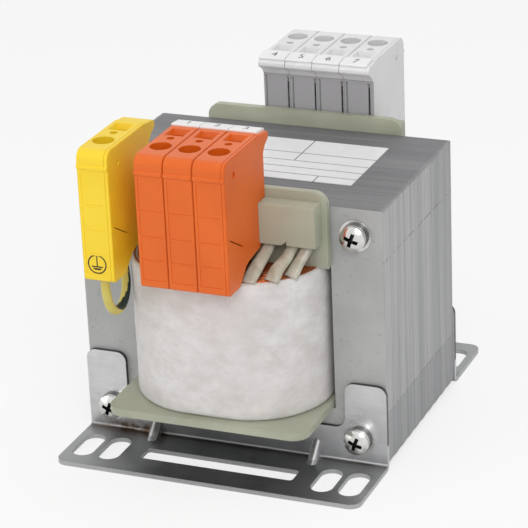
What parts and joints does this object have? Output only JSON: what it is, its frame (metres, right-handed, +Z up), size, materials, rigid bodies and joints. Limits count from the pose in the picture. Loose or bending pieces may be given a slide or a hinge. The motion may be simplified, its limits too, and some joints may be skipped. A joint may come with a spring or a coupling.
{
  "type": "mains transformer",
  "caption": "Open laminated-core transformer on two folded slotted feet, with a wrapped coil on a moulded bobbin and screw clamp terminal blocks on both sides.",
  "frame": {"origin": "on the mounting plane under the middle of the core", "axes": "+X along the core's long side, to the right seen from the primary terminals; +Y through the lamination stack, from the primary side (front) to the secondary side (rear); +Z up"},
  "size_m": [0.0848, 0.1096, 0.0909],
  "materials": {
    "core_steel": "bare cut edges of transformer sheet, varnished",
    "bobbin_plastic": "pale, slightly greenish moulded plastic",
    "copper": "enamelled copper wire",
    "insulation_film": "pale film",
    "wrap_film": "white film tape, faintly mottled",
    "zinc_sheet": "bright zinc plated sheet",
    "plated_steel": "zinc plated",
    "orange_plastic": "smooth orange moulding",
    "yellow_plastic": "smooth yellow moulding",
    "grey_plastic": "smooth light grey moulding",
    "clamp_steel": "zinc plated",
    "tinned_brass": "tinned",
    "white_plastic": "smooth white moulding",
    "clear_sleeve": "translucent sleeving over the winding ends",
    "earth_insulation": "yellow with a green stripe",
    "tinned_copper": "tinned",
    "label_film": "smooth white film with printed ruling"
  },
  "bodies": {
    "root": {"e_laminations": "core_steel", "i_laminations": "core_steel", "bobbin": "bobbin_plastic", "primary_winding": "copper", "winding_insulation": "insulation_film", "secondary_winding": "copper", "outer_wrap": "wrap_film", "front_foot": "zinc_sheet", "rear_foot": "zinc_sheet", "core_bolts": "plated_steel", "flat_washers": "plated_steel", "spring_washers": "plated_steel", "hex_nuts": "plated_steel", "primary_housing_1": "orange_plastic", "primary_housing_2": "orange_plastic", "primary_housing_3": "orange_plastic", "primary_end_cover": "orange_plastic", "earth_housing": "yellow_plastic", "earth_end_cover": "yellow_plastic", "secondary_housing_4": "grey_plastic", "secondary_housing_5": "grey_plastic", "secondary_housing_6": "grey_plastic", "secondary_housing_7": "grey_plastic", "secondary_end_cover": "grey_plastic", "clamp_screws": "clamp_steel", "wire_clamps": "clamp_steel", "contact_bars": "tinned_brass", "marker_tag_1": "white_plastic", "marker_tag_2": "white_plastic", "marker_tag_3": "white_plastic", "marker_tag_4": "white_plastic", "marker_tag_5": "white_plastic", "marker_tag_6": "white_plastic", "marker_tag_7": "white_plastic", "primary_sleeves": "clear_sleeve", "primary_leads": "tinned_copper", "secondary_leads": "clear_sleeve", "earth_lead": "earth_insulation", "earth_lug": "tinned_copper", "rating_label": "label_film"}
  },
  "joints": []
}
